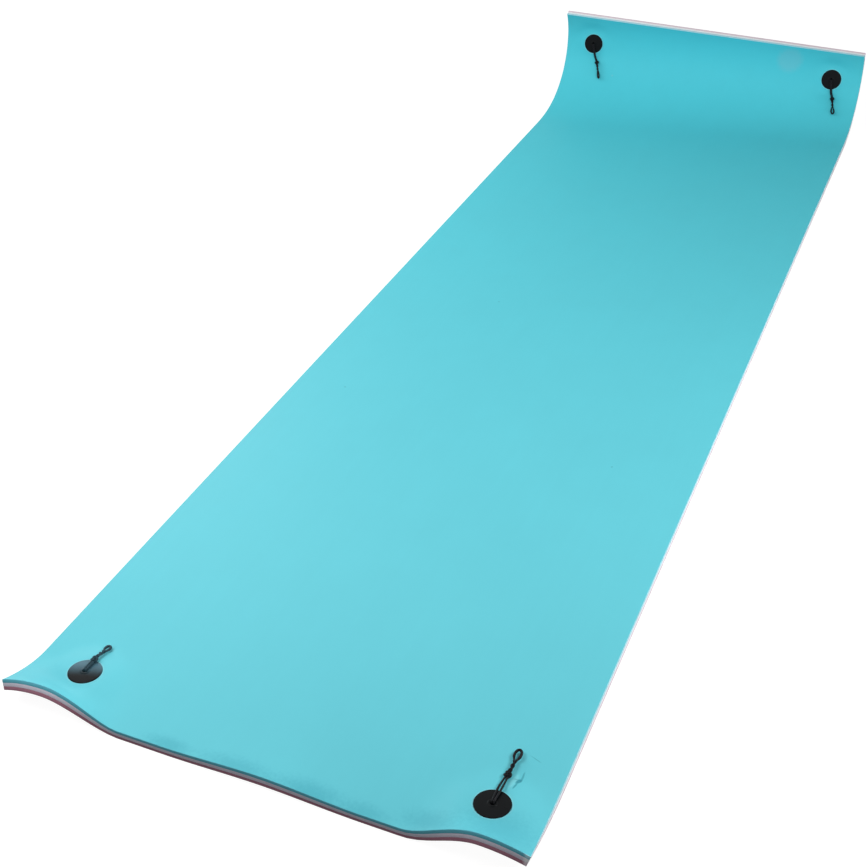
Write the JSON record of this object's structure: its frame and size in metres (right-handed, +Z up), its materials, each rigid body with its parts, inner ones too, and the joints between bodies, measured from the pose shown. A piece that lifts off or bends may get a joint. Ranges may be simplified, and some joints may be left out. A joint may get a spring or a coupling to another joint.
{
  "type": "foam floating mat",
  "caption": "Long floating water mat of three bonded foam layers, lying half unrolled with a curled end, with clamped discs and swivelling tether loops at its corners.",
  "frame": {"origin": "middle of the mat's length and width along the foam, on the floor that its underside lies on", "axes": "+Z up out of the top deck, +Y along the mat from the raised front end to the curled back end, +X to the right as seen from the front end"},
  "size_m": [1.8522, 5.8323, 0.5626],
  "materials": {
    "foam_teal": "matte closed-cell foam with a fine grain",
    "foam_white": "matte closed-cell foam",
    "foam_rose": "matte closed-cell foam",
    "disc_plastic": "moulded black plastic, half gloss",
    "tether_cord": "braided black cord"
  },
  "bodies": {
    "mat": {"foam_layer_bottom": "foam_rose", "foam_layer_middle": "foam_white", "foam_layer_top": "foam_teal", "front_left_top_disc": "disc_plastic", "front_left_bottom_disc": "disc_plastic", "front_right_top_disc": "disc_plastic", "front_right_bottom_disc": "disc_plastic", "back_left_top_disc": "disc_plastic", "back_left_bottom_disc": "disc_plastic", "back_right_top_disc": "disc_plastic", "back_right_bottom_disc": "disc_plastic"},
    "front_left_swivel": {"front_left_stopper_knot": "tether_cord", "front_left_bore_cord_left": "tether_cord", "front_left_bore_cord_right": "tether_cord"},
    "front_left_tether": {"front_left_tether_leg_left": "tether_cord", "front_left_tether_leg_right": "tether_cord", "front_left_tether_knot": "tether_cord", "front_left_tether_loop": "tether_cord"},
    "front_right_swivel": {"front_right_stopper_knot": "tether_cord", "front_right_bore_cord_left": "tether_cord", "front_right_bore_cord_right": "tether_cord"},
    "front_right_tether": {"front_right_tether_leg_left": "tether_cord", "front_right_tether_leg_right": "tether_cord", "front_right_tether_knot": "tether_cord", "front_right_tether_loop": "tether_cord"},
    "back_left_swivel": {"back_left_stopper_knot": "tether_cord", "back_left_bore_cord_left": "tether_cord", "back_left_bore_cord_right": "tether_cord"},
    "back_left_tether": {"back_left_tether_leg_left": "tether_cord", "back_left_tether_leg_right": "tether_cord", "back_left_tether_knot": "tether_cord", "back_left_tether_loop": "tether_cord"},
    "back_right_swivel": {"back_right_stopper_knot": "tether_cord", "back_right_bore_cord_left": "tether_cord", "back_right_bore_cord_right": "tether_cord"},
    "back_right_tether": {"back_right_tether_leg_left": "tether_cord", "back_right_tether_leg_right": "tether_cord", "back_right_tether_knot": "tether_cord", "back_right_tether_loop": "tether_cord"}
  },
  "joints": [
    {"name": "front_left_tether_swivel", "type": "hinge", "parent": "mat", "child": "front_left_swivel", "pos_m": [-0.70858, -2.88567, 0.0674], "axis": [0.0091, 0.0929, 0.9956], "range_deg": [-120, 90]},
    {"name": "front_left_tether_lift", "type": "hinge", "parent": "front_left_swivel", "child": "front_left_tether", "pos_m": [-0.70858, -2.88567, 0.0674], "axis": [1, 0.0008, -0.0092], "range_deg": [0, 90]},
    {"name": "front_right_tether_swivel", "type": "hinge", "parent": "mat", "child": "front_right_swivel", "pos_m": [0.74903, -2.88421, 0.06878], "axis": [-0.0209, 0.1243, 0.992], "range_deg": [-90, 120]},
    {"name": "front_right_tether_lift", "type": "hinge", "parent": "front_right_swivel", "child": "front_right_tether", "pos_m": [0.74903, -2.88421, 0.06878], "axis": [0.9998, -0.0026, 0.0214], "range_deg": [0, 90]},
    {"name": "back_left_tether_swivel", "type": "hinge", "parent": "mat", "child": "back_left_swivel", "pos_m": [-0.74085, 2.64675, 0.36885], "axis": [0.0568, -0.9819, 0.1808], "continuous": true},
    {"name": "back_left_tether_lift", "type": "hinge", "parent": "back_left_swivel", "child": "back_left_tether", "pos_m": [-0.74085, 2.64675, 0.36885], "axis": [-0.9713, -0.0963, -0.2176], "range_deg": [0, 90]},
    {"name": "back_right_tether_swivel", "type": "hinge", "parent": "mat", "child": "back_right_swivel", "pos_m": [0.74471, 2.71003, 0.27324], "axis": [0.058, -0.9404, 0.335], "continuous": true},
    {"name": "back_right_tether_lift", "type": "hinge", "parent": "back_right_swivel", "child": "back_right_tether", "pos_m": [0.74471, 2.71003, 0.27324], "axis": [-0.9862, -0.1062, -0.1272], "range_deg": [0, 90]}
  ]
}
